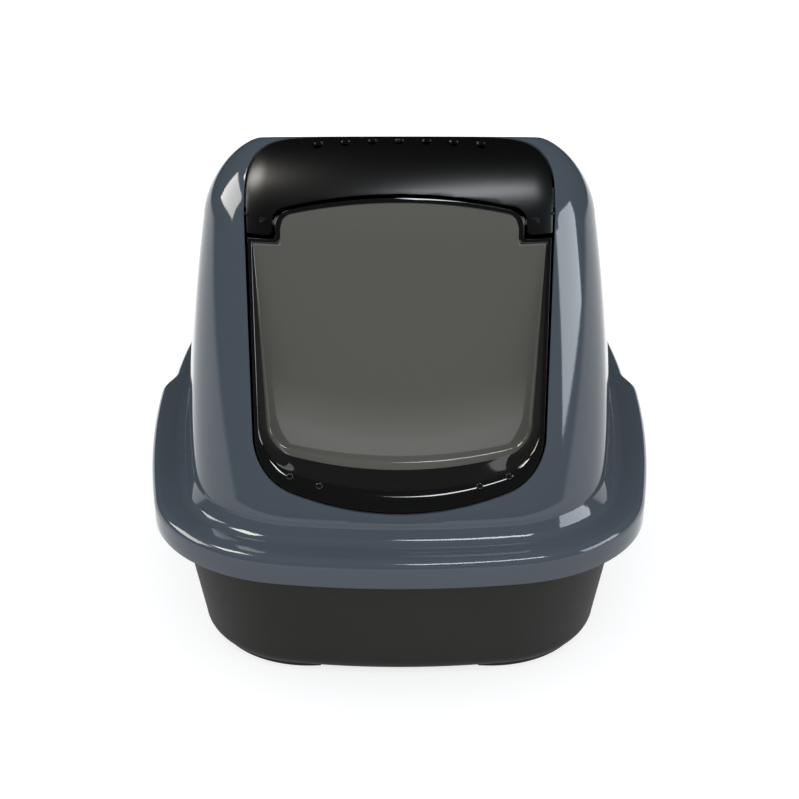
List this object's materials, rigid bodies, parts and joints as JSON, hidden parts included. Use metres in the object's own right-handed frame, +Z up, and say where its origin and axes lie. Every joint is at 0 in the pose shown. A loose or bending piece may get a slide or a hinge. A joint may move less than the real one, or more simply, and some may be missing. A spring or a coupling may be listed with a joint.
{
  "type": "hooded litter box",
  "caption": "Hooded cat litter box: open tray, lift-off hood, top cover with vents that hinges up, and a smoked flap that swings in the doorway.",
  "frame": {"origin": "bottom centre of the bounding box, on the floor under the feet", "axes": "+Z up, the doorway faces -Y, +X is the right side seen from behind the box's front as pictured"},
  "size_m": [0.4028, 0.58, 0.3538],
  "materials": {
    "tray": "satin",
    "hood": "gloss",
    "cover": "gloss",
    "flap": "gloss, smoked, nearly opaque",
    "pin": "satin",
    "frame": "matt",
    "filter": "matt felt"
  },
  "bodies": {
    "tray": {"base_tray": "tray"},
    "hood": {"hood_shell": "hood", "cover_pin_left": "pin", "cover_pin_right": "pin"},
    "cover": {"top_cover": "cover", "flap_pin_left": "pin", "flap_pin_right": "pin", "filter_frame": "frame", "carbon_filter": "filter"},
    "flap": {"swing_flap": "flap"}
  },
  "joints": [
    {"name": "hood_lift", "type": "slide", "parent": "tray", "child": "hood", "axis": [0, 0, 1], "range_m": [0, 0.3]},
    {"name": "cover_hinge", "type": "hinge", "parent": "hood", "child": "cover", "pos_m": [0, -0.11295, 0.34225], "axis": [-1, 0, 0], "range_deg": [0, 70]},
    {"name": "flap_swing", "type": "hinge", "parent": "cover", "child": "flap", "pos_m": [0, -0.17122, 0.305], "axis": [1, 0, 0], "range_deg": [-60, 60]}
  ]
}
